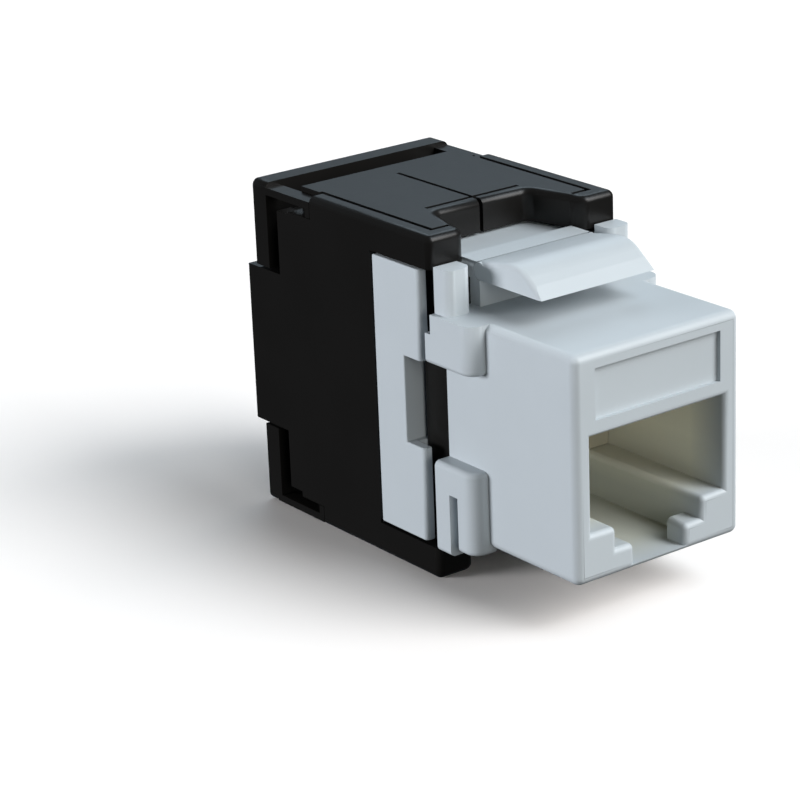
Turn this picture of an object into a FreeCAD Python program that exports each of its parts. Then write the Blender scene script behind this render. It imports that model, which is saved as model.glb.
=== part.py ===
"""Keystone ethernet jack: a white socket housing and wiring block, closed by a black snap-on wire cap.

Millimetres. Each piece is drawn with x across the jack, y running back from the front face and z up
from the underside of the front housing. The shared placement then centres the jack on its footprint
and stands it on the underside of the wire cap.
"""
import FreeCAD, Part
import math
import os
from types import SimpleNamespace

import Sketcher

SIZES = {
    # White front housing
    "housing_width": 14.5,
    "housing_height": 16.1,
    "housing_depth": 13.4,
    "housing_edge": 0.6,
    "front_wall": 1.5,
    "roof": 1.2,
    "brow": 5.8,
    "label_side": 1.75,
    "label_gap": 1.1,
    "label_margin": 0.5,
    "label_depth": 0.35,
    # Plug socket
    "socket_wall": 1.35,
    "socket_floor": 3.5,
    "rail_gap": 7.6,
    "rail_height": 1.6,
    "catch_gap": 4.5,
    "catch_floor": 0.35,
    "rail_round": 0.4,
    "mouth_round": 0.4,
    "catch_lip": 1.8,
    # Side tabs and shoulders
    "tab_depth": 4.3,
    "tab_reach": 1.3,
    "tab_round": 1.1,
    "tab_edge": 0.4,
    "upper_tab_height": 3.6,
    "upper_tab_overhang": 0.6,
    "overhang_height": 2.2,
    "lower_tab_top": 5.6,
    "lower_tab_setback": 0.1,
    "front_rib_drop": 0.5,
    "rear_rib_drop": 1.1,
    "tab_groove_inset": 1.9,
    "tab_groove_width": 0.9,
    "tab_groove_depth": 0.7,
    "tab_groove_top": 3.5,
    "shoulder_gap": 1.1,
    "shoulder_inset": 0.45,
    "shoulder_depth": 1.6,
    "shoulder_rise": 0.1,
    "shoulder_round": 0.6,
    # Release latch
    "latch_width": 10.0,
    "latch_lift": 1.9,
    "latch_thickness": 1.25,
    "latch_root": 1.05,
    "latch_length": 6.45,
    "latch_nose": 0.8,
    "latch_ridge": 2.4,
    "latch_ridge_rise": 0.75,
    "ridge_round": 2.8,
    "latch_edge": 0.35,
    "knuckle_cover": 0.2,
    # Fixed hook under the housing
    "hook_drop": 1.0,
    "hook_lead": 1.2,
    "hook_length": 2.4,
    # Contacts, their carrier and comb
    "contact_pitch": 1.02,
    "wire": 0.36,
    "lip_front": 2.65,
    "lip_gap": 0.6,
    "slab": 1.5,
    "beam_past": 0.3,
    "beam_drop": 4.0,
    "comb_wall": 1.5,
    "comb": 0.56,
    "comb_depth": 0.7,
    "row_rise": 1.5,
    "tail": 0.4,
    # Circuit board and the black frame round it
    "frame_wall": 1.2,
    "frame_floor": 1.0,
    "frame_depth": 3.0,
    "board_thickness": 1.2,
    "wire_hole": 0.7,
    "pin_hole": 0.9,
    # White wiring block
    "block_inset": 0.35,
    "block_set_down": 0.4,
    "block_drop": 0.95,
    "block_depth": 9.0,
    "strip_setback": 1.5,
    "strip_depth": 5.2,
    "strip_lip": 0.75,
    "strip_round": 0.35,
    "notch_low": 6.9,
    "notch_high": 6.6,
    "notch_depth": 1.9,
    "notch_recess": 2.2,
    "tail_room": 0.8,
    "well_width": 9.0,
    "well_height": 6.0,
    "well_depth": 3.0,
    # Wire terminals
    "terminal_side": 2.1,
    "terminal_margin": 3.55,
    "blade_width": 2.4,
    "blade_thickness": 0.4,
    "blade_front": 2.0,
    "blade_cover": 0.6,
    "fork_gap": 0.34,
    "fork_depth": 3.4,
    "fork_mouth": 1.1,
    "pin_width": 0.6,
    "wire_groove": 1.3,
    "wire_groove_depth": 3.4,
    "wire_groove_run": 2.4,
    # Black wire cap
    "side_wall": 1.2,
    "top_plate": 2.35,
    "bottom_plate": 2.35,
    "channel": 2.7,
    "wall_past": 1.4,
    "arm_width": 3.2,
    "arm_straight": 1.2,
    "notch_reach": 4.7,
    "notch_taper": 1.0,
    "arm_round": 0.8,
    "cap_edge": 0.5,
    "slit": 0.3,
    "slit_end": 2.1,
    "score": 0.35,
    "score_depth": 0.25,
    "score_inset": 0.8,
    "rim_inset": 1.2,
    "rim_front": 1.2,
    "rim_end": 2.2,
    "grip_low": 3.7,
    "grip_high": 4.1,
    "grip_past": 1.1,
    # Wire guide
    "guide_depth": 4.6,
    "pusher": 0.7,
    "pusher_reach": 2.2,
    "pusher_length": 1.3,
    "pusher_clear": 0.5,
    "guide_bore": 8.4,
    # Cable frame
    "cable_bore": 7.2,
    "bore_edge": 0.5,
    "plug_depth": 4.3,
    "flange": 1.6,
    "flange_inset": 0.05,
    "clip_width": 1.25,
    "clip_reach": 2.65,
    "clip_thickness": 0.55,
    "clip_inset": 0.4,
    "clip_inset_under": 0.2,
    "clip_hook": 0.55,
    "clip_lift": 0.65,
    # Clearances
    "slide_gap": 0.2,
    "fit_gap": 0.05,
}
CONTACTS = 8
TERMINALS_PER_ROW = 4
OVERLAP = 0.5
TOUCHING = 0.01

doc = FreeCAD.newDocument("ethernet_jack")
sheet = doc.addObject("Spreadsheet::Sheet", "Sizes")
for row, (alias, number) in enumerate(SIZES.items(), 1):
    sheet.set("A%d" % row, alias)
    sheet.set("B%d" % row, str(number))
    sheet.setAlias("B%d" % row, alias)
doc.recompute()


class Length:
    """A length that carries both its number and the sheet formula that gives it."""

    def __init__(self, number, formula):
        self.number = number
        self.formula = formula

    def __add__(self, other):
        other = as_length(other)
        return Length(self.number + other.number, "(%s + %s)" % (self.formula, other.formula))

    def __sub__(self, other):
        other = as_length(other)
        return Length(self.number - other.number, "(%s - %s)" % (self.formula, other.formula))

    def __mul__(self, factor):
        return Length(self.number * factor, "(%s * %s)" % (self.formula, factor))

    def __truediv__(self, divisor):
        return Length(self.number / divisor, "(%s / %s)" % (self.formula, divisor))

    def __neg__(self):
        return Length(-self.number, "(-%s)" % self.formula)


def as_length(value):
    return value if isinstance(value, Length) else Length(value, str(value))


s = SimpleNamespace(**{alias: Length(sheet.get(alias), "Sizes." + alias) for alias in SIZES})
zero = as_length(0)

# Levels and reaches that several pieces share
socket_top = s.housing_height - s.brow
socket_depth = s.housing_depth - s.comb_wall
bay_top = s.housing_height - s.roof
half_housing = s.housing_width / 2
half_socket = half_housing - s.socket_wall
half_label = half_housing - s.label_side
half_latch = s.latch_width / 2
tab_front = s.housing_depth - s.tab_depth
tab_side = half_housing + s.tab_reach
latch_under = s.housing_height + s.latch_lift
latch_top = latch_under + s.latch_thickness
latch_middle = latch_under + s.latch_thickness / 2
latch_pivot = s.housing_depth - s.latch_root
latch_tip = latch_pivot - s.latch_length
board_rear = s.housing_depth + s.board_thickness
half_block = half_housing - s.block_inset
half_opening = half_block - s.frame_wall
frame_rear = s.housing_depth + s.frame_depth
block_rear = board_rear + s.block_depth
block_top = latch_top - s.block_set_down
block_under = -s.block_drop
block_middle = (block_top + block_under) / 2
frame_bed = block_under + s.frame_floor
strip_front = s.housing_depth + s.strip_setback
strip_rear = strip_front + s.strip_depth
cap_inside = half_block + s.slide_gap
cap_side = cap_inside + s.side_wall
cap_ceiling = block_top + s.slide_gap
cap_floor = block_under - s.slide_gap
cap_top = cap_ceiling + s.top_plate
cap_bottom = cap_floor - s.bottom_plate
cap_front = s.housing_depth + s.slide_gap
arm_inner = cap_side - s.arm_width
notch_rear = cap_front + s.notch_reach
guide_front = block_rear + s.slide_gap
guide_rear = guide_front + s.guide_depth
flange_front = guide_rear + s.plug_depth
flange_rear = flange_front + s.flange
plate_rear = flange_front - s.channel
wall_rear = plate_rear + s.wall_past
clip_front = plate_rear - s.clip_reach
grip_rear = flange_rear + s.grip_past
grip_low = block_under + s.grip_low
grip_high = block_top - s.grip_high
slab_low = socket_top + s.lip_gap
slab_top = slab_low + s.slab
lip_middle = s.lip_front + s.slab / 2
wire_top = slab_top + s.fit_gap / 2 + s.wire / 2
blade_start = board_rear + s.blade_front
blade_end = block_rear - s.blade_cover


def new_body(label):
    """Start a piece whose placement stands the jack on its base, centred on its footprint."""
    body = doc.addObject("PartDesign::Body", label)
    body.Label = label
    body.setExpression("Placement.Base.y", (-grip_rear / 2).formula)
    body.setExpression("Placement.Base.z", (-cap_bottom).formula)
    return body


def new_sketch(body, name, plane, level=zero):
    """Add a sketch on the XY, XZ or YZ plane of the piece, at a level along the third axis."""
    sketch = body.newObject("Sketcher::SketchObject", body.Name + "_" + name)
    support = next(item for item in body.Origin.OriginFeatures if item.Role == plane + "_Plane")
    sketch.AttachmentSupport = [(support, "")]
    sketch.MapMode = "FlatFace"
    along_normal = -as_length(level) if plane == "XZ" else as_length(level)
    sketch.setExpression("AttachmentOffset.Base.z", along_normal.formula)
    return sketch


def pin_point(sketch, edge, end, across, up):
    """Hold one end of a sketch edge at a place worked out from the sheet."""
    for kind, place in (("DistanceX", across), ("DistanceY", up)):
        place = as_length(place)
        index = sketch.addConstraint(Sketcher.Constraint(kind, -1, 1, edge, end, place.number))
        sketch.setExpression("Constraints[%d]" % index, place.formula)


def outline(sketch, corners):
    """Draw a closed straight-sided outline through corners given as pairs of lengths."""
    points = [FreeCAD.Vector(as_length(a).number, as_length(b).number, 0) for a, b in corners]
    first = sketch.GeometryCount
    count = len(points)
    for index in range(count):
        sketch.addGeometry(Part.LineSegment(points[index], points[(index + 1) % count]))
    for index, (across, up) in enumerate(corners):
        following = first + (index + 1) % count
        sketch.addConstraint(Sketcher.Constraint("Coincident", first + index, 2, following, 1))
        pin_point(sketch, first + index, 1, across, up)


def rectangle(sketch, left, right, low, high):
    outline(sketch, [(left, low), (right, low), (right, high), (left, high)])


def both_sides(sketch, corners):
    """Draw an outline and its mirror image in the middle plane of the jack."""
    outline(sketch, corners)
    outline(sketch, [(-as_length(across), up) for across, up in corners])


def side_rectangles(sketch, inner, outer, low, high):
    both_sides(sketch, [(inner, low), (outer, low), (outer, high), (inner, high)])


def circle(sketch, across, up, diameter):
    across, up = as_length(across), as_length(up)
    centre = FreeCAD.Vector(across.number, up.number, 0)
    edge = sketch.addGeometry(Part.Circle(centre, FreeCAD.Vector(0, 0, 1), diameter.number / 2))
    pin_point(sketch, edge, 3, across, up)
    index = sketch.addConstraint(Sketcher.Constraint("Diameter", edge, diameter.number))
    sketch.setExpression("Constraints[%d]" % index, diameter.formula)


def extrude(kind, body, sketch, length, symmetric):
    feature = body.newObject("PartDesign::" + kind, sketch.Name + "_" + kind.lower())
    feature.Profile = sketch
    feature.setExpression("Length", as_length(length).formula)
    if symmetric:
        feature.SideType = "Symmetric"
    return feature


def pad(body, sketch, length, symmetric=False):
    """Add material from the sketch towards rising x, y or z, or to both sides of it."""
    feature = extrude("Pad", body, sketch, length, symmetric)
    feature.Reversed = sketch.AttachmentSupport[0][0].Role == "XZ_Plane"


def cut(body, sketch, length, symmetric=False):
    """Remove material from the sketch towards rising x, y or z, or to both sides of it."""
    feature = extrude("Pocket", body, sketch, length, symmetric)
    feature.Type = "Length"
    feature.Reversed = sketch.AttachmentSupport[0][0].Role != "XZ_Plane"


def soften(body, name, radius, wanted, kind="Fillet"):
    """Round or bevel the edges whose middle point and direction pass the test."""
    doc.recompute()
    base = body.Tip
    chosen = []
    for index, edge in enumerate(base.Shape.Edges, 1):
        if edge.Degenerated:
            continue
        middle = edge.valueAt((edge.FirstParameter + edge.LastParameter) / 2)
        if wanted(edge, middle):
            chosen.append("Edge%d" % index)
    feature = body.newObject("PartDesign::" + kind, body.Name + "_" + name)
    feature.Base = (base, chosen)
    feature.setExpression("Size" if kind == "Chamfer" else "Radius", radius.formula)


def runs_along(edge, axis):
    """Tell whether a straight edge runs along x, y or z."""
    if not isinstance(edge.Curve, Part.Line):
        return False
    return abs(getattr(edge.tangentAt(edge.FirstParameter), axis)) > 1 - TOUCHING


def near(value, length):
    return abs(value - length.number) < TOUCHING


def columns(count, pitch):
    """Give the x of each item in a row that is centred on the jack."""
    return [pitch * (index - (count - 1) / 2) for index in range(count)]


def terminal_places():
    """Give the x and z of each wire terminal, the lower row first."""
    pitch = (half_block - s.terminal_side) * 2 / (TERMINALS_PER_ROW - 1)
    return [
        (across, level)
        for level in (block_under + s.terminal_margin, block_top - s.terminal_margin)
        for across in columns(TERMINALS_PER_ROW, pitch)
    ]


def contact_tail(index):
    """Give the z where a contact enters the circuit board: odd and even ones stand in two rows."""
    return wire_top + s.row_rise if index % 2 else wire_top


def front_housing():
    """Socket housing with its plug opening, side tabs, shoulders and the root of the latch."""
    body = new_body("front_housing")
    shell = new_sketch(body, "shell", "XZ")
    rectangle(shell, -half_housing, half_housing, zero, s.housing_height)
    pad(body, shell, s.housing_depth)
    soften(
        body, "edges", s.housing_edge,
        lambda edge, middle: runs_along(edge, "y") or near(middle.y, zero),
    )

    root = half_housing - s.housing_edge
    lower_front = tab_front + s.lower_tab_setback
    groove_front = tab_front + s.tab_groove_inset
    front_ribs = new_sketch(body, "front_ribs", "XY", -s.front_rib_drop)
    side_rectangles(front_ribs, root, tab_side, lower_front, s.housing_depth)
    pad(body, front_ribs, s.lower_tab_top + s.front_rib_drop)
    upper_tab_low = s.housing_height - s.upper_tab_height
    upper_tabs = new_sketch(body, "upper_tabs", "XY", upper_tab_low)
    side_rectangles(upper_tabs, root, tab_side, tab_front, s.housing_depth)
    pad(body, upper_tabs, s.upper_tab_height)
    overhangs = new_sketch(body, "overhangs", "XY", upper_tab_low)
    side_rectangles(
        overhangs, half_housing, tab_side,
        s.housing_depth - s.tab_edge, s.housing_depth + s.upper_tab_overhang,
    )
    pad(body, overhangs, s.overhang_height)
    soften(
        body, "tab_fronts", s.tab_round,
        lambda edge, middle: runs_along(edge, "z") and near(abs(middle.x), tab_side)
        and (near(middle.y, tab_front) or near(middle.y, lower_front)),
    )
    tab_levels = [-s.front_rib_drop, s.lower_tab_top, upper_tab_low]
    soften(
        body, "tab_edges", s.tab_edge,
        lambda edge, middle: any(near(middle.z, level) for level in tab_levels)
        and not runs_along(edge, "x") and abs(middle.x) > half_housing.number + TOUCHING,
    )
    rear_ribs = new_sketch(body, "rear_ribs", "XY", -s.rear_rib_drop)
    groove_rear = groove_front + s.tab_groove_width
    side_rectangles(rear_ribs, root, tab_side, groove_rear, s.housing_depth)
    pad(body, rear_ribs, s.rear_rib_drop + s.tab_groove_top)
    soften(
        body, "rib_feet", s.tab_edge,
        lambda edge, middle: runs_along(edge, "y") and near(middle.z, -s.rear_rib_drop)
        and near(abs(middle.x), tab_side),
    )
    grooves = new_sketch(body, "tab_grooves", "XY", -s.rear_rib_drop - OVERLAP)
    side_rectangles(
        grooves, tab_side - s.tab_groove_depth, tab_side + OVERLAP, groove_front, groove_rear,
    )
    cut(body, grooves, s.rear_rib_drop + OVERLAP + s.tab_groove_top)

    shoulder_inner = half_latch + s.shoulder_gap
    shoulder_outer = tab_side - s.shoulder_inset
    shoulder_front = s.housing_depth - s.shoulder_depth
    shoulders = new_sketch(body, "shoulders", "XY", s.housing_height - s.housing_edge)
    side_rectangles(shoulders, shoulder_inner, shoulder_outer, shoulder_front, s.housing_depth)
    pad(body, shoulders, latch_top + s.shoulder_rise - s.housing_height + s.housing_edge)
    soften(
        body, "shoulder_fronts", s.shoulder_round,
        lambda edge, middle: runs_along(edge, "z") and near(middle.y, shoulder_front)
        and middle.z > s.housing_height.number,
    )

    latch_root = new_sketch(body, "latch_root", "YZ")
    outline(latch_root, [
        (latch_pivot, s.housing_height - s.housing_edge),
        (s.housing_depth, s.housing_height - s.housing_edge),
        (s.housing_depth, latch_under),
        (board_rear, latch_under),
        (board_rear, latch_top),
        (latch_pivot, latch_top),
    ])
    pad(body, latch_root, s.latch_width, symmetric=True)
    knuckle_seat = new_sketch(body, "knuckle_seat", "YZ")
    circle(knuckle_seat, latch_pivot, latch_middle, s.latch_thickness + s.fit_gap * 2)
    cut(body, knuckle_seat, s.latch_width + s.slide_gap, symmetric=True)

    hook = new_sketch(body, "panel_hook", "YZ")
    outline(hook, [
        (latch_tip, s.housing_edge), (latch_tip, zero), (latch_tip + s.hook_lead, -s.hook_drop),
        (latch_tip + s.hook_length, -s.hook_drop), (latch_tip + s.hook_length, s.housing_edge),
    ])
    pad(body, hook, s.latch_width, symmetric=True)

    half_rails = s.rail_gap / 2
    half_catch = s.catch_gap / 2
    lip_top = s.socket_floor - s.rail_height
    socket = new_sketch(body, "socket", "XZ")
    outline(socket, [
        (-half_socket, socket_top), (-half_socket, s.socket_floor), (-half_rails, s.socket_floor),
        (-half_rails, lip_top), (-half_catch, lip_top), (-half_catch, s.catch_floor),
        (half_catch, s.catch_floor), (half_catch, lip_top), (half_rails, lip_top),
        (half_rails, s.socket_floor), (half_socket, s.socket_floor), (half_socket, socket_top),
    ])
    cut(body, socket, socket_depth)
    catch_room = new_sketch(body, "catch_room", "XZ", s.catch_lip)
    rectangle(catch_room, -half_rails, half_rails, s.catch_floor, lip_top + OVERLAP)
    cut(body, catch_room, socket_depth - s.catch_lip)
    soften(
        body, "rails", s.rail_round,
        lambda edge, middle: runs_along(edge, "y") and (
            near(abs(middle.x), half_rails) and near(middle.z, s.socket_floor)
            or near(abs(middle.x), half_catch) and near(middle.z, lip_top)
        ),
    )
    soften(
        body, "mouth", s.mouth_round,
        lambda edge, middle: near(middle.y, zero) and abs(middle.x) < half_socket.number + TOUCHING
        and s.catch_floor.number + TOUCHING < middle.z < socket_top.number + TOUCHING,
    )
    bay = new_sketch(body, "bay", "XZ", s.front_wall)
    rectangle(bay, -half_socket, half_socket, s.socket_floor, bay_top)
    cut(body, bay, s.housing_depth - s.front_wall + s.upper_tab_overhang)
    label = new_sketch(body, "label", "XZ")
    rectangle(
        label, -half_label, half_label,
        socket_top + s.label_gap, s.housing_height - s.label_margin - s.housing_edge,
    )
    cut(body, label, s.label_depth)
    return body


def release_latch():
    """Springy tongue on top of the housing, drawn in side view, with a round root that it bends about."""
    body = new_body("release_latch")
    tongue = new_sketch(body, "tongue", "YZ")
    outline(tongue, [
        (latch_pivot, latch_under),
        (latch_tip, latch_under),
        (latch_tip + s.latch_nose, latch_under + s.latch_nose),
        (latch_tip + s.latch_ridge, latch_top + s.latch_ridge_rise),
        (latch_pivot + s.knuckle_cover, latch_top),
        (latch_pivot + s.knuckle_cover, latch_middle),
        (latch_pivot, latch_middle),
    ])
    pad(body, tongue, s.latch_width, symmetric=True)
    soften(
        body, "ridge", s.ridge_round,
        lambda edge, middle: runs_along(edge, "x") and near(middle.y, latch_tip + s.latch_ridge),
    )
    soften(
        body, "edges", s.latch_edge,
        lambda edge, middle: near(abs(middle.x), half_latch) and middle.z > latch_middle.number
        and middle.y < latch_pivot.number,
    )
    knuckle = new_sketch(body, "knuckle", "YZ")
    circle(knuckle, latch_pivot, latch_middle, s.latch_thickness)
    pad(body, knuckle, s.latch_width, symmetric=True)
    return body


def contact_carrier():
    """Insert above the socket that the contacts lie on and bend round, with slots that keep them apart."""
    body = new_body("contact_carrier")
    high = bay_top - s.fit_gap
    profile = new_sketch(body, "profile", "YZ")
    outline(profile, [
        (lip_middle, slab_low), (s.housing_depth, slab_low), (s.housing_depth, high),
        (socket_depth, high), (socket_depth, slab_top), (lip_middle, slab_top),
    ])
    width = (half_socket - s.fit_gap) * 2
    pad(body, profile, width, symmetric=True)
    lip = new_sketch(body, "lip", "YZ")
    circle(lip, lip_middle, slab_low + s.slab / 2, s.slab)
    pad(body, lip, width, symmetric=True)
    wire_slots = new_sketch(body, "wire_slots", "XZ", socket_depth - OVERLAP)
    half_comb = s.comb / 2
    for across in columns(CONTACTS, s.contact_pitch):
        rectangle(wire_slots, across - half_comb, across + half_comb, slab_top, high + OVERLAP)
    cut(body, wire_slots, s.comb_wall + OVERLAP * 2)
    return body


def contact_comb():
    """Slotted wall at the back of the socket, between whose ribs the ends of the contacts move."""
    body = new_body("contact_comb")
    side = half_socket - s.fit_gap
    wall = new_sketch(body, "wall", "XZ", socket_depth)
    rectangle(wall, -side, side, s.socket_floor + s.fit_gap, slab_low - s.fit_gap)
    pad(body, wall, s.comb_wall)
    tip_slots = new_sketch(body, "tip_slots", "XZ", socket_depth - OVERLAP)
    half_comb = s.comb / 2
    tip_low = slab_low - s.beam_drop - s.comb_depth * 2
    for across in columns(CONTACTS, s.contact_pitch):
        rectangle(tip_slots, across - half_comb, across + half_comb, tip_low, slab_low)
    cut(body, tip_slots, s.comb_depth + OVERLAP)
    return body


def contact(index, across):
    """Plated spring wire: over the carrier, round its lip and back down into the socket."""
    body = new_body("contact_%d" % (index + 1))
    tail_level = contact_tail(index)
    tail_end = board_rear + s.tail
    bend_middle = slab_low + s.slab / 2
    path = new_sketch(body, "path", "YZ", across)
    points = [(tail_end, tail_level)]
    if index % 2:
        points.append((s.housing_depth - s.wire, tail_level))
        points.append((socket_depth, wire_top))
    points.append((lip_middle, wire_top))
    vectors = [FreeCAD.Vector(y.number, z.number, 0) for y, z in points]
    runs = len(vectors) - 1
    for run in range(runs):
        path.addGeometry(Part.LineSegment(vectors[run], vectors[run + 1]))
        pin_point(path, run, 1, *points[run])
        if run:
            path.addConstraint(Sketcher.Constraint("Coincident", run - 1, 2, run, 1))
    tip = (socket_depth + s.beam_past, slab_low - s.beam_drop)
    centre = FreeCAD.Vector(lip_middle.number, bend_middle.number, 0)
    bend_start, bend_end = math.radians(90), math.radians(250)
    bend_radius = wire_top.number - bend_middle.number
    bend_circle = Part.Circle(centre, FreeCAD.Vector(0, 0, 1), bend_radius)
    bend = path.addGeometry(Part.ArcOfCircle(bend_circle, bend_start, bend_end))
    beam_from = bend_circle.value(bend_end)
    beam = path.addGeometry(Part.LineSegment(beam_from, FreeCAD.Vector(tip[0].number, tip[1].number, 0)))
    pin_point(path, bend, 3, lip_middle, bend_middle)
    path.addConstraint(Sketcher.Constraint("Tangent", runs - 1, 2, bend, 1))
    path.addConstraint(Sketcher.Constraint("Tangent", bend, 2, beam, 1))
    path.addConstraint(Sketcher.Constraint("Horizontal", runs - 1))
    pin_point(path, beam, 2, *tip)

    section = new_sketch(body, "section", "XZ", tail_end)
    half_wire = s.wire / 2
    rectangle(
        section, across - half_wire, across + half_wire, tail_level - half_wire, tail_level + half_wire,
    )
    doc.recompute()
    sweep = body.newObject("PartDesign::AdditivePipe", body.Name + "_sweep")
    sweep.Profile = section
    sweep.Spine = (path, ["Edge%d" % (edge + 1) for edge in range(path.GeometryCount)])
    sweep.Transition = "Right corner"
    return body


def board_frame():
    """Black frame, open at the top, that holds the board between housing and wiring block."""
    body = new_body("board_frame")
    ring = new_sketch(body, "ring", "XZ", s.housing_depth)
    outer = half_block - s.fit_gap
    outline(ring, [
        (-outer, block_under), (outer, block_under),
        (outer, block_top), (half_opening, block_top), (half_opening, frame_bed),
        (-half_opening, frame_bed), (-half_opening, block_top), (-outer, block_top),
    ])
    pad(body, ring, s.frame_depth)
    return body


def circuit_board():
    """Board in the black frame, drilled for the contacts and the terminals."""
    body = new_body("circuit_board")
    plate = new_sketch(body, "plate", "XZ", s.housing_depth)
    side = half_opening - s.fit_gap
    rectangle(plate, -side, side, frame_bed + s.fit_gap, latch_under - s.fit_gap)
    for index, across in enumerate(columns(CONTACTS, s.contact_pitch)):
        circle(plate, across, contact_tail(index), s.wire_hole)
    for across, level in terminal_places():
        circle(plate, across, level, s.pin_hole)
    pad(body, plate, s.board_thickness)
    return body


def terminal_block():
    """Wiring block with its side strips, and a wire groove crossing each terminal slot at the back."""
    body = new_body("terminal_block")
    core = new_sketch(body, "core", "XZ", frame_rear + s.fit_gap)
    rectangle(core, -half_block, half_block, block_under, block_top)
    pad(body, core, block_rear - frame_rear - s.fit_gap)
    spigot = new_sketch(body, "spigot", "XZ", board_rear)
    spigot_side = half_opening - s.fit_gap
    rectangle(spigot, -spigot_side, spigot_side, frame_bed + s.fit_gap, block_top)
    pad(body, spigot, frame_rear - board_rear + OVERLAP)
    lip_side = cap_side - s.strip_lip
    strips = new_sketch(body, "strips", "XY", block_under)
    both_sides(strips, [
        (cap_side, strip_front), (cap_side, strip_rear), (half_block - OVERLAP, strip_rear),
        (half_block - OVERLAP, frame_rear + s.fit_gap), (lip_side, frame_rear + s.fit_gap),
        (lip_side, strip_front),
    ])
    pad(body, strips, block_top - block_under)
    soften(
        body, "strip_fronts", s.strip_round,
        lambda edge, middle: runs_along(edge, "z") and near(middle.y, strip_front)
        and near(abs(middle.x), cap_side),
    )
    notches = new_sketch(body, "notches", "XY", block_under + s.notch_low)
    side_rectangles(
        notches, cap_side - s.notch_recess, cap_side + OVERLAP, strip_front - OVERLAP,
        strip_front + s.notch_depth,
    )
    cut(body, notches, block_top - block_under - s.notch_low - s.notch_high)

    half_blade = s.blade_width / 2 + s.fit_gap
    half_thick = s.blade_thickness / 2 + s.fit_gap
    half_pin = s.pin_width / 2 + s.fit_gap
    half_groove = s.wire_groove / 2
    blades = new_sketch(body, "blade_slots", "XZ", blade_start)
    pins = new_sketch(body, "pin_slots", "XZ", board_rear - OVERLAP)
    grooves = new_sketch(body, "wire_grooves", "XZ", block_rear - s.wire_groove_depth)
    for across, level in terminal_places():
        rectangle(blades, across - half_blade, across + half_blade, level - half_thick, level + half_thick)
        rectangle(pins, across - half_pin, across + half_pin, level - half_thick, level + half_thick)
        if level.number < block_middle.number:
            low, high = block_under - OVERLAP, level + s.wire_groove_run
        else:
            low, high = level - s.wire_groove_run, block_top + OVERLAP
        rectangle(grooves, across - half_groove, across + half_groove, low, high)
    cut(body, blades, block_rear - blade_start + OVERLAP)
    cut(body, pins, s.blade_front + OVERLAP * 2)
    cut(body, grooves, s.wire_groove_depth + OVERLAP)

    well = new_sketch(body, "wire_well", "XZ", block_rear - s.well_depth)
    half_well = s.well_height / 2
    rectangle(well, -s.well_width / 2, s.well_width / 2, block_middle - half_well, block_middle + half_well)
    cut(body, well, s.well_depth + OVERLAP)
    tails = new_sketch(body, "tail_room", "XZ", board_rear - OVERLAP)
    half_row = s.contact_pitch * (CONTACTS / 2)
    rectangle(tails, -half_row, half_row, wire_top - s.wire, wire_top + s.row_rise + s.wire)
    cut(body, tails, s.tail_room + OVERLAP)
    return body


def idc_terminal(index, across, level):
    """Flat forked blade that cuts into a wire, with a pin into the circuit board."""
    body = new_body("idc_terminal_%d" % (index + 1))
    fork = new_sketch(body, "fork", "XY", level - s.blade_thickness / 2)
    half_pin = s.pin_width / 2
    half_blade = s.blade_width / 2
    half_gap = s.fork_gap / 2
    half_mouth = s.fork_mouth / 2
    right_side = [
        (half_pin, s.housing_depth), (half_pin, blade_start), (half_blade, blade_start),
        (half_blade, blade_end), (half_mouth, blade_end), (half_gap, blade_end - s.fork_mouth),
        (half_gap, blade_end - s.fork_depth),
    ]
    left_side = [(-x, y) for x, y in reversed(right_side)]
    outline(fork, [(across + x, y) for x, y in right_side + left_side])
    pad(body, fork, s.blade_thickness)
    return body


def cap_plate(body, name, level, thickness):
    """One plate of the wire cap, in plan: two arms either side of the notch for the latch."""
    plate = new_sketch(body, name, "XY", level)
    right_side = [
        (cap_side, plate_rear), (cap_side, cap_front), (arm_inner, cap_front),
        (arm_inner, cap_front + s.arm_straight), (arm_inner - s.notch_taper, notch_rear),
    ]
    left_side = [(-x, y) for x, y in reversed(right_side)]
    outline(plate, right_side + left_side)
    pad(body, plate, thickness)


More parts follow.
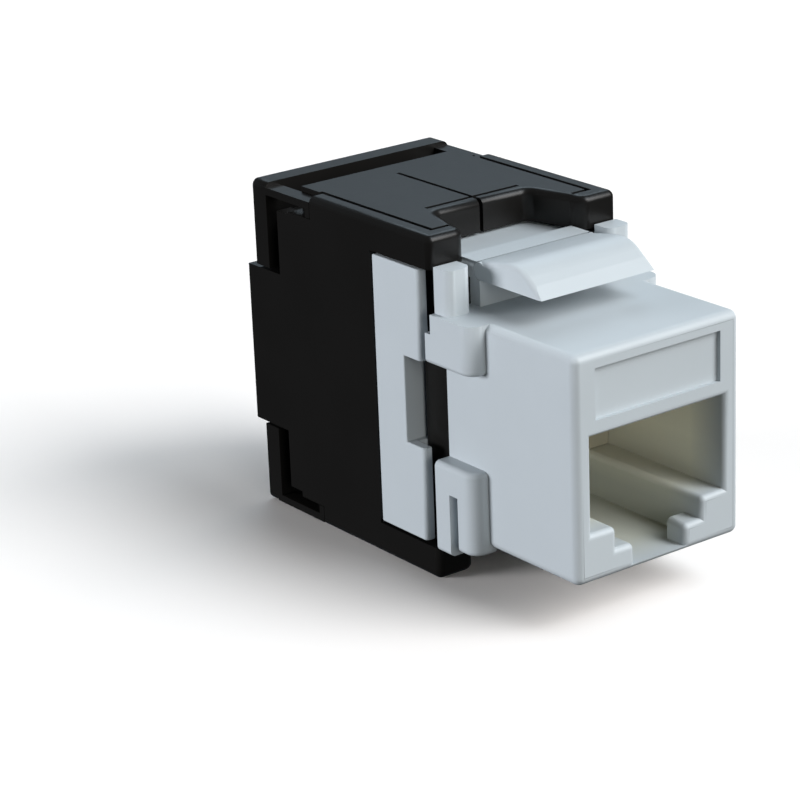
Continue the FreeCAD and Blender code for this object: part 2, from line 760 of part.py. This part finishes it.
def rear_shell():
    """Wire cap: top and bottom plates on two side walls, slit and notched to clear the latch."""
    body = new_body("rear_shell")
    cap_plate(body, "bottom", cap_bottom, s.bottom_plate)
    walls = new_sketch(body, "walls", "XY", cap_floor - OVERLAP)
    side_rectangles(walls, cap_inside, cap_side, strip_rear + s.slide_gap, wall_rear)
    pad(body, walls, cap_ceiling - cap_floor + OVERLAP * 2)
    cap_plate(body, "top", cap_ceiling, s.top_plate)
    soften(
        body, "arms", s.arm_round,
        lambda edge, middle: runs_along(edge, "z") and abs(middle.x) < cap_side.number - TOUCHING
        and not cap_floor.number < middle.z < cap_ceiling.number,
    )
    soften(
        body, "corners", s.cap_edge,
        lambda edge, middle: runs_along(edge, "z") and near(abs(middle.x), cap_side)
        and near(middle.y, cap_front),
    )
    soften(
        body, "edges", s.cap_edge,
        lambda edge, middle: middle.y < plate_rear.number - TOUCHING
        and (near(middle.z, cap_top) or near(middle.z, cap_bottom)),
    )
    grips = new_sketch(body, "grips", "XY", grip_low)
    side_rectangles(grips, cap_inside, cap_side, wall_rear - OVERLAP, grip_rear)
    pad(body, grips, grip_high - grip_low)

    slit = new_sketch(body, "slit", "XY", cap_ceiling - OVERLAP)
    rectangle(slit, -s.slit / 2, s.slit / 2, notch_rear - OVERLAP, plate_rear - s.slit_end)
    cut(body, slit, s.top_plate + OVERLAP * 2)

    score = new_sketch(body, "score", "XY", cap_top - s.score_depth)
    score_half = arm_inner - s.notch_taper
    score_front = notch_rear + s.score_inset
    rectangle(score, -score_half, score_half, score_front, score_front + s.score)
    rim_side = cap_side - s.rim_inset
    rim_start = cap_front + s.rim_front
    rim_rear = plate_rear - s.rim_end
    both_sides(score, [
        (rim_side, rim_rear), (rim_side, rim_start), (arm_inner + s.score, rim_start),
        (arm_inner + s.score, rim_start + s.score), (rim_side - s.score, rim_start + s.score),
        (rim_side - s.score, rim_rear),
    ])
    cut(body, score, s.score_depth + OVERLAP)

    seats = new_sketch(body, "clip_seats", "XZ", clip_front - s.fit_gap)
    seat_inner = cap_side - s.clip_width - s.fit_gap
    seat_side = cap_side + OVERLAP
    clip_height = s.clip_thickness + s.clip_lift + s.fit_gap
    side_rectangles(seats, seat_inner, seat_side, cap_top - s.clip_inset - clip_height, cap_top + OVERLAP)
    side_rectangles(
        seats, seat_inner, seat_side, cap_bottom - OVERLAP, cap_bottom + s.clip_inset_under + clip_height,
    )
    cut(body, seats, wall_rear - clip_front + OVERLAP)
    return body


def wire_guide():
    """Carrier inside the wire cap, with paired ribs that push each wire into its terminal."""
    body = new_body("wire_guide")
    core = new_sketch(body, "core", "XZ", guide_front)
    side = cap_inside - s.fit_gap
    rectangle(core, -side, side, cap_floor + s.fit_gap, cap_ceiling - s.fit_gap)
    circle(core, zero, block_middle, s.guide_bore)
    pad(body, core, s.guide_depth)
    ribs = new_sketch(body, "pushers", "XZ", guide_front - s.pusher_reach)
    half_rib = s.pusher / 2
    for across, level in terminal_places():
        above = level + s.pusher_clear
        below = level - s.pusher_clear
        rectangle(ribs, across - half_rib, across + half_rib, above, above + s.pusher_length)
        rectangle(ribs, across - half_rib, across + half_rib, below - s.pusher_length, below)
    pad(body, ribs, s.pusher_reach + OVERLAP)
    return body


def cable_frame():
    """Back plate of the wire cap: a plug with the cable bore, a flange and four corner clips."""
    body = new_body("cable_frame")
    plug = new_sketch(body, "plug", "XZ", guide_rear)
    side = cap_inside - s.fit_gap
    rectangle(plug, -side, side, cap_floor + s.fit_gap, cap_ceiling - s.fit_gap)
    pad(body, plug, s.plug_depth + OVERLAP)
    flange = new_sketch(body, "flange", "XZ", flange_front)
    low = cap_bottom + s.flange_inset
    high = cap_top - s.flange_inset
    gap_low = grip_low - s.slide_gap
    gap_high = grip_high + s.slide_gap
    right_side = [
        (cap_side, low), (cap_side, gap_low), (side, gap_low),
        (side, gap_high), (cap_side, gap_high), (cap_side, high),
    ]
    left_side = [(-x, z) for x, z in reversed(right_side)]
    outline(flange, right_side + left_side)
    pad(body, flange, s.flange)
    soften(
        body, "edges", s.cap_edge,
        lambda edge, middle: runs_along(edge, "y") and near(abs(middle.x), cap_side)
        and (near(middle.z, low) or near(middle.z, high)),
    )
    straps = new_sketch(body, "straps", "XZ", clip_front)
    hooks = new_sketch(body, "hooks", "XZ", clip_front)
    inner = cap_side - s.clip_width
    strap_outer = cap_top - s.clip_inset
    strap_inner = strap_outer - s.clip_thickness
    side_rectangles(straps, inner, cap_side, strap_inner, strap_outer)
    side_rectangles(hooks, inner, cap_side, strap_inner - s.clip_lift, strap_outer)
    below_outer = cap_bottom + s.clip_inset_under
    below_inner = below_outer + s.clip_thickness
    side_rectangles(straps, inner, cap_side, below_outer, below_inner)
    side_rectangles(hooks, inner, cap_side, below_outer, below_inner + s.clip_lift)
    pad(body, straps, flange_front - clip_front + OVERLAP)
    pad(body, hooks, s.clip_hook)
    bore = new_sketch(body, "bore", "XZ", guide_rear - OVERLAP)
    circle(bore, zero, block_middle, s.cable_bore)
    cut(body, bore, s.plug_depth + s.flange + OVERLAP * 2)
    soften(
        body, "bore_mouth", s.bore_edge,
        lambda edge, middle: isinstance(edge.Curve, Part.Circle) and near(middle.y, flange_rear)
        and near(edge.Curve.Radius, s.cable_bore / 2),
        kind="Chamfer",
    )
    return body


pieces = [front_housing(), release_latch(), contact_carrier(), contact_comb()]
pieces += [board_frame(), circuit_board(), terminal_block()]
for order, place in enumerate(columns(CONTACTS, s.contact_pitch)):
    pieces.append(contact(order, place))
for order, (place, height) in enumerate(terminal_places()):
    pieces.append(idc_terminal(order, place, height))
pieces += [rear_shell(), wire_guide(), cable_frame()]
doc.recompute()

failed = [item.Label for item in doc.Objects if "Invalid" in item.State or "Error" in item.State]
failed += [piece.Label for piece in pieces if piece.Shape.isNull() or not piece.Shape.isValid()]
if failed:
    raise RuntimeError("these did not build: " + ", ".join(failed))

os.makedirs("parts", exist_ok=True)
for piece in pieces:
    piece.Shape.exportStep("parts/%s.step" % piece.Label)
    box = piece.Shape.BoundBox
    print("%-18s %d solid, %8.2f mm3, y %6.2f to %6.2f, z %6.2f to %6.2f" % (
        piece.Label, len(piece.Shape.Solids), piece.Shape.Volume, box.YMin, box.YMax, box.ZMin, box.ZMax))
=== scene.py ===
# %% [markdown]
# A snap-in ethernet jack
#
# This small connector sits in a wall plate. A white housing takes the plug, a springy white latch
# holds it in the plate, and a black cap presses the wires of the cable into the terminals behind.
# The shapes were drawn as solids beforehand. This lesson gives those solids their plastics and
# metals, softens their edges as a mould does, and sets up the light and the camera.

# %% Load the solids
import math

import bpy
from mathutils import Matrix, Vector


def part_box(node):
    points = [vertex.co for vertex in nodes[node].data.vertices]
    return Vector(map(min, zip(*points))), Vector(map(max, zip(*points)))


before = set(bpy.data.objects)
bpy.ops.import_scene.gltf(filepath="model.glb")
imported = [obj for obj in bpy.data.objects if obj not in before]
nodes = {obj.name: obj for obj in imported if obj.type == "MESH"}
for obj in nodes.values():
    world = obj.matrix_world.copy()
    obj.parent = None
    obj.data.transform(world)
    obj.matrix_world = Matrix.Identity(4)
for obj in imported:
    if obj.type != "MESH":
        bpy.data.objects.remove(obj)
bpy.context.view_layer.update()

MM = 0.001

# %% [markdown]
# Colours and nodes
#
# Colours are easiest to write down as the hex values of a picture editor, but a shader works with
# light, so one function turns hex into linear values. Every material below is a small graph of
# nodes. One function adds a node, sets its options and plugs in its inputs, so that each graph
# reads from top to bottom: first the place on the surface, then the pattern, then the shader.


# %% Helpers for all the materials
def linear(hex_colour):
    """Turn an sRGB hex colour into linear red, green, blue and a full alpha."""
    channels = [int(hex_colour[start:start + 2], 16) / 255 for start in (1, 3, 5)]
    return [c / 12.92 if c <= 0.04045 else ((c + 0.055) / 1.055) ** 2.4 for c in channels] + [1.0]


def add_node(tree, kind, inputs=None, **settings):
    """Add a node with its settings. Each input is a plain value or the output of another node."""
    node = tree.nodes.new(kind)
    for name, value in settings.items():
        setattr(node, name, value)
    for name, value in (inputs or {}).items():
        if isinstance(value, bpy.types.NodeSocket):
            tree.links.new(value, node.inputs[name])
        else:
            node.inputs[name].default_value = value
    return node


def new_material(name):
    """Start a material and give back its graph, emptied but for the output."""
    material = bpy.data.materials.new(name)
    material.use_nodes = True
    tree = material.node_tree
    tree.nodes.clear()
    return material, tree, add_node(tree, "ShaderNodeOutputMaterial")


print("helpers ready, mid grey is", [round(c, 3) for c in linear("#808080")])

# %% [markdown]
# Painted light and shade in the plug socket
#
# White ABS lets a little light through, and light that has bounced about in the plug socket comes out
# yellowish. Tracing that through the plastic is slow, so here that light and its shade are painted by
# place: from a little way behind the mouth, every face between the walls of the socket takes a
# painted warm light, which is darker, as painted shade, down in the catch slot than on the walls
# above.

# %% Painted light and shade that depend on the place
# The socket's space, to just behind its side walls, its floor and its roof.
SOCKET_SIDE_MM = 6.0
SOCKET_FLOOR_MM = 3.7
SOCKET_ROOF_MM = 13.9
# The depths behind the mouth where the painted warm light sets in and where it is full.
GLOW_START_MM = 0.5
GLOW_FULL_MM = 3.5
# The heights between which the painted shade of the catch slot goes over to the painted light of the
# walls.
SLOT_MM = 5.5
WALLS_MM = 10.0


def paint_socket_light_and_shade(tree, place, colour, slot_painted_shade, wall_painted_light):
    """Lead a colour over to the painted light and painted shade of the plug socket, from the mouth
    inwards.
    """
    spot = add_node(tree, "ShaderNodeSeparateXYZ", {"Vector": place}).outputs
    height = add_node(tree, "ShaderNodeMapRange", {
        "Value": spot["Z"], "From Min": SLOT_MM * MM, "From Max": WALLS_MM * MM,
    })
    painted_socket_light = add_node(tree, "ShaderNodeMix", {
        "Factor": height.outputs["Result"], "A": linear(slot_painted_shade), "B": linear(wall_painted_light),
    }, data_type="RGBA")
    aside = add_node(tree, "ShaderNodeMath", {0: spot["X"]}, operation="ABSOLUTE")
    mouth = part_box("front_housing")[0].y
    share = add_node(tree, "ShaderNodeMapRange", {
        "Value": spot["Y"],
        "From Min": mouth + GLOW_START_MM * MM, "From Max": mouth + GLOW_FULL_MM * MM,
    }).outputs["Result"]
    for value, test, limit_mm in (
        (aside.outputs["Value"], "LESS_THAN", SOCKET_SIDE_MM),
        (spot["Z"], "GREATER_THAN", SOCKET_FLOOR_MM),
        (spot["Z"], "LESS_THAN", SOCKET_ROOF_MM),
    ):
        within = add_node(tree, "ShaderNodeMath", {0: value, 1: limit_mm * MM}, operation=test)
        share = add_node(tree, "ShaderNodeMath", {
            0: share, 1: within.outputs["Value"],
        }, operation="MULTIPLY").outputs["Value"]
    return add_node(tree, "ShaderNodeMix", {
        "Factor": share, "A": colour, "B": painted_socket_light.outputs["Result"],
    }, data_type="RGBA").outputs["Result"]


print("socket tint from", GLOW_START_MM, "to", GLOW_FULL_MM, "mm behind the mouth")

# %% [markdown]
# Moulded plastic
#
# Housing, latch and wiring block are ABS, and so is the cap, only black. Both are injected into a
# steel mould whose faces were spark-eroded, which leaves a fine even grain: the surface scatters a
# highlight into a soft sheen and is never quite one tone. The grain of a real mould is about
# 0.05 mm, too fine for this picture, so it is drawn three to four times as coarse and very shallow.
# The flow of the melt gives slow changes of tone, some millimetres wide. A photo texture could show
# the same, but noise in object space needs no unwrapping and follows every face. The inserts that
# hold the contacts are PBT in its natural pale tone, which stands the heat of soldering.

# %% White, black and natural plastic
FLOW_MM = 5.0
PLASTIC_IOR = 1.53
SHEEN_SPREAD = 0.05
GRAIN_STRENGTH = 0.6


def moulded_plastic(
    name, tones, roughness, grain_mm, grain_height_mm, shine=0.5, socket_light_and_shade_tones=None,
):
    material, tree, output = new_material(name)
    place = add_node(tree, "ShaderNodeTexCoord").outputs["Object"]
    flow = add_node(tree, "ShaderNodeTexNoise", {
        "Vector": place, "Scale": 1 / (FLOW_MM * MM), "Detail": 3.0, "Roughness": 0.5,
    })
    colour = add_node(tree, "ShaderNodeMix", {
        "Factor": flow.outputs["Fac"], "A": linear(tones[0]), "B": linear(tones[1]),
    }, data_type="RGBA").outputs["Result"]
    # Where socket tones are given, the plug socket gets painted warm light on its walls and painted
    # shade in its catch slot.
    if socket_light_and_shade_tones:
        colour = paint_socket_light_and_shade(tree, place, colour, *socket_light_and_shade_tones)
    grain = add_node(tree, "ShaderNodeTexNoise", {
        "Vector": place, "Scale": 1 / (grain_mm * MM), "Detail": 2.0, "Roughness": 0.6,
    })
    sheen = add_node(tree, "ShaderNodeMapRange", {
        "Value": flow.outputs["Fac"],
        "To Min": roughness - SHEEN_SPREAD, "To Max": roughness + SHEEN_SPREAD,
    })
    relief = add_node(tree, "ShaderNodeBump", {
        "Height": grain.outputs["Fac"], "Strength": GRAIN_STRENGTH, "Distance": grain_height_mm * MM,
    })
    shader = add_node(tree, "ShaderNodeBsdfPrincipled", {
        "Base Color": colour, "Roughness": sheen.outputs["Result"],
        "Normal": relief.outputs["Normal"], "IOR": PLASTIC_IOR, "Specular IOR Level": shine,
    })
    tree.links.new(shader.outputs["BSDF"], output.inputs["Surface"])
    return material


white = {
    "tones": ("#BCC3C7", "#B6BDC1"), "roughness": 0.42,
    "grain_mm": 0.18, "grain_height_mm": 0.004, "shine": 0.35,
}
white_abs = moulded_plastic("white_abs_fine_spark_eroded", **white)
# The housing's plug socket gets painted warm light on its walls and painted shade down in its catch
# slot.
socket_abs_painted_light = moulded_plastic(
    "white_abs_with_painted_socket_light", **white, socket_light_and_shade_tones=("#BABDB4", "#FAF9E6"),
)
black_abs = moulded_plastic(
    "black_abs_satin_spark_eroded", tones=("#141312", "#181716"), roughness=0.32,
    grain_mm=0.20, grain_height_mm=0.006, shine=0.24,
)
natural_pbt = moulded_plastic(
    "natural_pbt_moulded", tones=("#A9A592", "#9F9B88"), roughness=0.38,
    grain_mm=0.15, grain_height_mm=0.003,
)
print("plastics:", white_abs.name, socket_abs_painted_light.name, black_abs.name, natural_pbt.name)

# %% [markdown]
# Metals
#
# The contacts are phosphor bronze wire with a flash of gold over nickel where the plug touches. The
# terminals are stamped from the same bronze sheet and tinned. A metal has no colour below its
# surface: the colour is in the reflection, so metallic is 1 and the tone does the rest. Drawing a
# wire and stamping a sheet both leave faint streaks along their length, which here is stretched
# noise that only changes the roughness.

# %% Gold plate and tin plate
STREAK_LENGTH_MM = 2.0
STREAK_SPREAD = 0.08


def plated_bronze(name, tone, roughness, streak_mm):
    material, tree, output = new_material(name)
    place = add_node(tree, "ShaderNodeTexCoord").outputs["Object"]
    drawn = add_node(tree, "ShaderNodeMapping", {
        "Vector": place,
        "Scale": [1 / (width_mm * MM) for width_mm in (streak_mm, STREAK_LENGTH_MM, streak_mm)],
    })
    streaks = add_node(tree, "ShaderNodeTexNoise", {
        "Vector": drawn.outputs["Vector"], "Scale": 1.0, "Detail": 3.0,
    })
    polish = add_node(tree, "ShaderNodeMapRange", {
        "Value": streaks.outputs["Fac"],
        "To Min": roughness - STREAK_SPREAD, "To Max": roughness + STREAK_SPREAD,
    })
    shader = add_node(tree, "ShaderNodeBsdfPrincipled", {
        "Base Color": linear(tone), "Metallic": 1.0, "Roughness": polish.outputs["Result"],
    })
    tree.links.new(shader.outputs["BSDF"], output.inputs["Surface"])
    return material


gold_plate = plated_bronze("gold_plate_on_phosphor_bronze", "#E2B552", roughness=0.22, streak_mm=0.06)
tin_plate = plated_bronze("tin_plate_on_phosphor_bronze", "#CBC9C2", roughness=0.34, streak_mm=0.08)
print("metals:", gold_plate.name, tin_plate.name)

# %% [markdown]
# Circuit board
#
# The board is FR-4: glass cloth in epoxy, with a black solder mask printed on both faces. On the
# sawn rim the cloth and resin show, brown and dull. The faces look along the length of the jack and
# the rim does not, so the direction of the surface tells the two apart. The threads of the cloth lie
# about half a millimetre apart and print through the mask as a faint weave.

# %% FR-4 with solder mask
THREAD_MM = 0.5
WEAVE_HEIGHT_MM = 0.01
# A wave node repeats itself after this length, divided by its scale.
WAVE_LENGTH = math.pi / 10


def solder_masked_board(name, mask_tone, rim_tone):
    material, tree, output = new_material(name)
    place = add_node(tree, "ShaderNodeTexCoord")
    facing = add_node(tree, "ShaderNodeSeparateXYZ", {"Vector": place.outputs["Normal"]})
    along = add_node(tree, "ShaderNodeMath", {0: facing.outputs["Y"]}, operation="ABSOLUTE")
    on_face = add_node(tree, "ShaderNodeMath", {
        0: along.outputs["Value"], 1: 0.5,
    }, operation="GREATER_THAN")
    colour = add_node(tree, "ShaderNodeMix", {
        "Factor": on_face.outputs["Value"], "A": linear(rim_tone), "B": linear(mask_tone),
    }, data_type="RGBA")
    across, upright = (
        add_node(tree, "ShaderNodeTexWave", {
            "Vector": place.outputs["Object"],
            "Scale": WAVE_LENGTH / (THREAD_MM * MM), "Distortion": 0.4,
        }, bands_direction=direction)
        for direction in "XZ"
    )
    weave = add_node(tree, "ShaderNodeMath", {
        0: across.outputs["Fac"], 1: upright.outputs["Fac"],
    }, operation="MULTIPLY")
    relief = add_node(tree, "ShaderNodeBump", {
        "Height": weave.outputs["Value"], "Strength": 0.4, "Distance": WEAVE_HEIGHT_MM * MM,
    })
    shader = add_node(tree, "ShaderNodeBsdfPrincipled", {
        "Base Color": colour.outputs["Result"], "Roughness": 0.4, "Normal": relief.outputs["Normal"],
    })
    tree.links.new(shader.outputs["BSDF"], output.inputs["Surface"])
    return material


masked_board = solder_masked_board("fr4_black_solder_mask", mask_tone="#1C1C1A", rim_tone="#4A4636")
print("board:", masked_board.name)

# %% [markdown]
# Dressing the solids
#
# Each solid gets the finish of its real counterpart. A mould has no razor edges, and it is the
# thin bright line along a rounded edge that tells the eye that a thing is real. The large rounds
# are part of the solids. The small ones are added here by a bevel that leaves the solid itself
# untouched: weld the corners, merge the triangles of each flat face, then round every sharp edge.
# The latch already has rounds along its ridge and its sides. The metal pieces and the board keep the
# crisp edges that stamping and sawing leave.

# %% Finishes and soft edges
MOULDED_EDGE_MM = 0.12
INSERT_EDGE_MM = 0.06
WELD_MM = 0.002
FLAT_TO_DEG = 0.5
SHARP_FROM_DEG = 35


def soften_edges(piece, radius_mm):
    weld = piece.modifiers.new("weld_corners", "WELD")
    weld.merge_threshold = WELD_MM * MM
    flat = piece.modifiers.new("merge_flat_faces", "DECIMATE")
    flat.decimate_type = "DISSOLVE"
    flat.angle_limit = math.radians(FLAT_TO_DEG)
    rounding = piece.modifiers.new("moulded_edge", "BEVEL")
    rounding.width = radius_mm * MM
    rounding.segments = 2
    rounding.limit_method = "ANGLE"
    rounding.angle_limit = math.radians(SHARP_FROM_DEG)
    rounding.use_clamp_overlap = True
    rounding.harden_normals = True


def dress(names, finish, edge_mm=0):
    for name in names:
        piece = nodes[name]
        piece.data.materials.clear()
        piece.data.materials.append(finish)
        if edge_mm:
            soften_edges(piece, edge_mm)
    print(finish.name, "on", ", ".join(names))


contacts = sorted(name for name in nodes if name.startswith("contact_") and name[-1].isdigit())
terminals = sorted(name for name in nodes if name.startswith("idc_terminal_"))

dress(["front_housing"], socket_abs_painted_light, MOULDED_EDGE_MM)
dress(["terminal_block"], white_abs, MOULDED_EDGE_MM)
dress(["release_latch"], white_abs)
dress(["rear_shell", "wire_guide", "cable_frame", "board_frame"], black_abs, MOULDED_EDGE_MM)
dress(["contact_carrier", "contact_comb"], natural_pbt, INSERT_EDGE_MM)
dress(contacts, gold_plate)
dress(terminals, tin_plate)
dress(["circuit_board"], masked_board)

# %% [markdown]
# Lamps
#
# The main light comes from the front right, about a third of the way up, so that a broad soft shadow
# falls back and to the left. It is a distant lamp with a wide disc: the width of the disc makes the
# edge of the shadow soft, and the distance keeps the table evenly white up to the far edge of the
# picture. A second lamp above it lightens the tops.
#
# Low lamps stand to the left, the front and the right. The left one shines from a little behind, so
# that it lights the white sides but not the fronts of the side tabs. In a studio these would be large
# white cards, far too faint to be mirrored. A lamp of the same light is a small bright disc and would
# lie as a white glare on the black plastic, so the low lamps are left out of all reflections.
#
# A bluish lamp behind and to the right is meant to be mirrored: it makes the sheen on the top of the
# black cap.


# %% Six distant lamps
def distant_lamp(name, from_direction, strength, disc_deg, tone, mirrored=True):
    lamp = bpy.data.lights.new(name, "SUN")
    lamp.energy = strength
    lamp.angle = math.radians(disc_deg)
    lamp.color = linear(tone)[:3]
    stand = bpy.data.objects.new(name, lamp)
    stand.rotation_euler = Vector(from_direction).to_track_quat("Z", "Y").to_euler()
    stand.visible_glossy = mirrored
    bpy.context.scene.collection.objects.link(stand)
    print(name, "of", strength, "W per square metre")


distant_lamp("key_front_right", (0.41, -0.71, 0.57), 2.95, 42, "#FFFFFF")
distant_lamp("key_high", (0.38, -0.37, 0.84), 0.95, 34, "#E8F5FF")
distant_lamp("fill_left", (-0.88, 0.46, 0.10), 4.6, 26, "#F5F7FC", mirrored=False)
distant_lamp("fill_front", (-0.25, -0.95, 0.20), 0.75, 24, "#FFFDF8", mirrored=False)
distant_lamp("fill_right", (0.98, 0.13, 0.13), 1.5, 36, "#FFFFFF", mirrored=False)
distant_lamp("rim_back_right", (0.50, 0.60, 0.62), 0.53, 36, "#DDF1FF")

# %% [markdown]
# Paper and room
#
# The jack stands on white paper, a large plane with a faint mottle of fibres. The room around it is
# dim and a little blue, darker overhead and darkest below the table. A bright room would be simpler,
# but it would lie as a grey veil over the black sides. For the same reason the paper is kept out of
# the bounced light and out of the reflections.

# %% White paper
FLOOR_SIDE = 3.0
FIBRE_MM = 2.0

bpy.ops.mesh.primitive_plane_add(size=FLOOR_SIDE)
paper_floor = bpy.context.object
paper_floor.name = "paper_floor"
paper_floor.visible_diffuse = False
paper_floor.visible_glossy = False
paper, paper_tree, paper_output = new_material("white_paper")
fibres = add_node(paper_tree, "ShaderNodeTexNoise", {"Scale": 1 / (FIBRE_MM * MM), "Detail": 3.0})
paper_tone = add_node(paper_tree, "ShaderNodeMix", {
    "Factor": fibres.outputs["Fac"], "A": linear("#FFFAF6"), "B": linear("#FDF8F4"),
}, data_type="RGBA")
paper_shader = add_node(paper_tree, "ShaderNodeBsdfPrincipled", {
    "Base Color": paper_tone.outputs["Result"], "Roughness": 0.9, "Specular IOR Level": 0.1,
})
paper_tree.links.new(paper_shader.outputs["BSDF"], paper_output.inputs["Surface"])
paper_floor.data.materials.append(paper)
print("paper of", FLOOR_SIDE, "m")

# %% Dim room
AROUND = 0.08
BELOW = 0.03
OVERHEAD_SHARE = 0.5
# The upward part of a direction of view, from -1 straight down to 1 straight up.
RISE_FROM, RISE_TO = -0.1, 0.05
FADE_FROM, FADE_TO = 0.3, 0.8

room = bpy.data.worlds.new("dim_room")
room.use_nodes = True
room_tree = room.node_tree
room_tree.nodes.clear()
looking = add_node(room_tree, "ShaderNodeTexCoord").outputs["Generated"]
upward = add_node(room_tree, "ShaderNodeSeparateXYZ", {"Vector": looking}).outputs["Z"]
rising = add_node(room_tree, "ShaderNodeMapRange", {
    "Value": upward, "From Min": RISE_FROM, "From Max": RISE_TO, "To Min": BELOW, "To Max": AROUND,
})
fading = add_node(room_tree, "ShaderNodeMapRange", {
    "Value": upward, "From Min": FADE_FROM, "From Max": FADE_TO,
    "To Min": 1.0, "To Max": OVERHEAD_SHARE,
})
brightness = add_node(room_tree, "ShaderNodeMath", {
    0: rising.outputs["Result"], 1: fading.outputs["Result"],
}, operation="MULTIPLY")
surround = add_node(room_tree, "ShaderNodeBackground", {
    "Color": linear("#DDF1FF"), "Strength": brightness.outputs["Value"],
})
add_node(room_tree, "ShaderNodeOutputWorld", {"Surface": surround.outputs["Background"]})
bpy.context.scene.world = room
bpy.context.scene.view_settings.view_transform = "Standard"
print("room of", AROUND, "around the table and", BELOW, "below")

# %% [markdown]
# Camera
#
# The picture was taken from the front left and above, from about 20 cm, with a long lens. The
# angles, the distance and the lens were found by matching the corners of the housing, so the
# camera is built from them: first the three directions of a camera that looks at the foot of the
# front face, then a small roll, then the step aside that puts the jack right of the middle.

# %% Camera at the place of the photographer
AZIMUTH = math.radians(-36.376)
ELEVATION = math.radians(19.993)
ROLL = math.radians(-2.301)
DISTANCE_MM = 193.307
ASIDE_MM = -17.476
RAISED_MM = 10.761
LENS_MM = 129.52
SENSOR_MM = 36
HOUSING_FOOT_MM = 3.5

front_foot = Vector((0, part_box("front_housing")[0].y, HOUSING_FOOT_MM * MM))
backward = Vector((
    math.sin(AZIMUTH) * math.cos(ELEVATION),
    -math.cos(AZIMUTH) * math.cos(ELEVATION),
    math.sin(ELEVATION),
))
level_right = Vector((math.cos(AZIMUTH), math.sin(AZIMUTH), 0))
level_up = backward.cross(level_right)
right = level_right * math.cos(ROLL) + level_up * math.sin(ROLL)
up = level_up * math.cos(ROLL) - level_right * math.sin(ROLL)
viewpoint = front_foot + (backward * DISTANCE_MM + right * ASIDE_MM + up * RAISED_MM) * MM

camera_data = bpy.data.cameras.new("photo_camera")
camera_data.sensor_width = SENSOR_MM
camera_data.lens = LENS_MM
camera_data.clip_start = 0.01
photo_camera = bpy.data.objects.new("photo_camera", camera_data)
turn = Matrix((right, up, backward)).transposed().to_4x4()
photo_camera.matrix_world = Matrix.Translation(viewpoint) @ turn
bpy.context.scene.collection.objects.link(photo_camera)
bpy.context.scene.camera = photo_camera
print("camera at", [round(c, 3) for c in viewpoint], "m")
